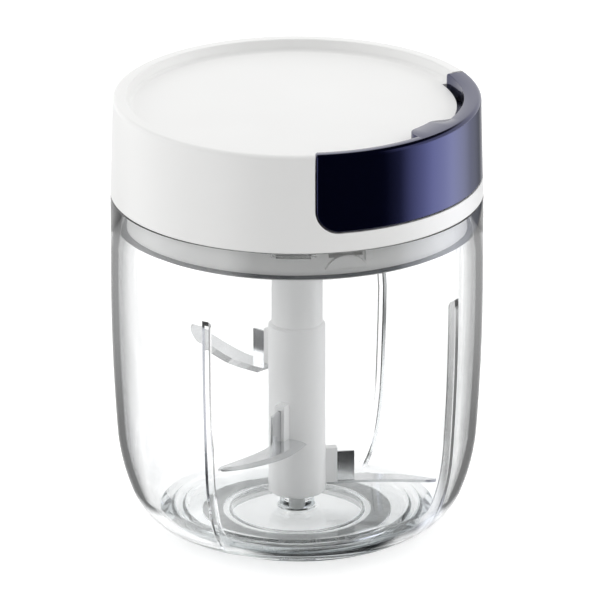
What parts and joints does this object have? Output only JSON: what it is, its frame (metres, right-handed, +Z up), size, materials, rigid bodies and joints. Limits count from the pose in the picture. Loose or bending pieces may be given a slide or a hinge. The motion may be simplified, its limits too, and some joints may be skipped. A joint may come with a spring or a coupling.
{
  "type": "pull-string food chopper",
  "caption": "Hand food chopper: a clear round bowl with stacked blades on a shaft, under a white lid whose dark pull handle turns the blades by a cord reel and one-way clutch.",
  "frame": {"origin": "middle of the underside of the foot ring, on the table", "axes": "+Z up along the shaft; the handle is pulled along +X"},
  "size_m": [0.13, 0.13, 0.159],
  "materials": {
    "clear_plastic": "clear moulded, gloss",
    "white_plastic": "moulded, soft gloss",
    "navy_plastic": "moulded, high gloss",
    "natural_plastic": "moulded, satin",
    "bearing_plastic": "turned, satin",
    "blade_steel": "polished, ground edge",
    "pin_steel": "bright",
    "spring_steel": "blued",
    "silicone": "matt",
    "foot_rubber": "matt, translucent grey",
    "braided_cord": "braided"
  },
  "bodies": {
    "bowl": {"bowl": "clear_plastic", "centre_pin": "natural_plastic", "foot_ring": "foot_rubber"},
    "seal": {"lid_seal": "silicone"},
    "lid": {"lid_housing": "white_plastic", "lid_base": "white_plastic", "base_screws": "pin_steel", "cord_eyelet": "pin_steel", "hub_bush": "bearing_plastic", "reel_axle": "pin_steel", "axle_washer": "pin_steel"},
    "handle": {"pull_handle": "navy_plastic", "handle_back": "navy_plastic", "cord_stop": "pin_steel", "cord_lead": "braided_cord"},
    "reel": {"cord_reel": "natural_plastic", "recoil_spring": "spring_steel", "spring_cover": "natural_plastic", "cord_winding": "braided_cord", "pawl_pins": "pin_steel", "pawl_springs": "spring_steel"},
    "pawl_1": {"pawl_1": "pin_steel"},
    "pawl_2": {"pawl_2": "pin_steel"},
    "pawl_3": {"pawl_3": "pin_steel"},
    "drive_hub": {"drive_hub": "natural_plastic", "hub_clip": "spring_steel"},
    "blade_unit": {"blade_column": "white_plastic", "drive_sleeve": "white_plastic", "shaft_bush": "bearing_plastic", "blade_lower": "blade_steel", "blade_middle": "blade_steel", "blade_upper": "blade_steel"}
  },
  "joints": [
    {"name": "lid_lift", "type": "slide", "parent": "bowl", "child": "seal", "axis": [0, 0, 1], "range_m": [0, 0.1], "deforming": ["lid_seal"]},
    {"name": "lid_twist", "type": "hinge", "parent": "seal", "child": "lid", "pos_m": [0, 0, 0.1235], "axis": [0, 0, -1], "range_deg": [0, 16]},
    {"name": "handle_pull", "type": "slide", "parent": "lid", "child": "handle", "axis": [1, 0, 0], "range_m": [0, 0.6], "stiffness_N_per_m": 12, "springref_m": -0.4, "deforming": ["cord_lead"]},
    {"name": "reel_spin", "type": "hinge", "parent": "lid", "child": "reel", "pos_m": [0, 0, 0.14], "axis": [0, 0, 1], "range_deg": [0, 1272], "deforming": ["recoil_spring"]},
    {"name": "hub_spin", "type": "hinge", "parent": "lid", "child": "drive_hub", "pos_m": [0, 0, 0.12], "axis": [0, 0, 1], "range_deg": [0, 1272]},
    {"name": "blade_spin", "type": "hinge", "parent": "bowl", "child": "blade_unit", "pos_m": [0, 0, 0.03], "axis": [0, 0, 1], "range_deg": [0, 1272]},
    {"name": "pawl_1_swing", "type": "hinge", "parent": "reel", "child": "pawl_1", "pos_m": [0.0166, 0, 0.1296], "axis": [0, 0, 1], "range_deg": [0, 14], "stiffness_Nm_per_rad": 0.002, "springref_deg": -17.19, "deforming": ["pawl_springs"]},
    {"name": "pawl_2_swing", "type": "hinge", "parent": "reel", "child": "pawl_2", "pos_m": [-0.0083, 0.01438, 0.1296], "axis": [0, 0, 1], "range_deg": [0, 14], "stiffness_Nm_per_rad": 0.002, "springref_deg": -17.19},
    {"name": "pawl_3_swing", "type": "hinge", "parent": "reel", "child": "pawl_3", "pos_m": [-0.0083, -0.01438, 0.1296], "axis": [0, 0, 1], "range_deg": [0, 14], "stiffness_Nm_per_rad": 0.002, "springref_deg": -17.19}
  ],
  "couplings": [
    {"joint": "reel_spin", "follows": "handle_pull", "rad_per_m": 36.962},
    {"joint": "hub_spin", "follows": "handle_pull", "rad_per_m": 36.962},
    {"joint": "blade_spin", "follows": "handle_pull", "rad_per_m": 36.962}
  ]
}
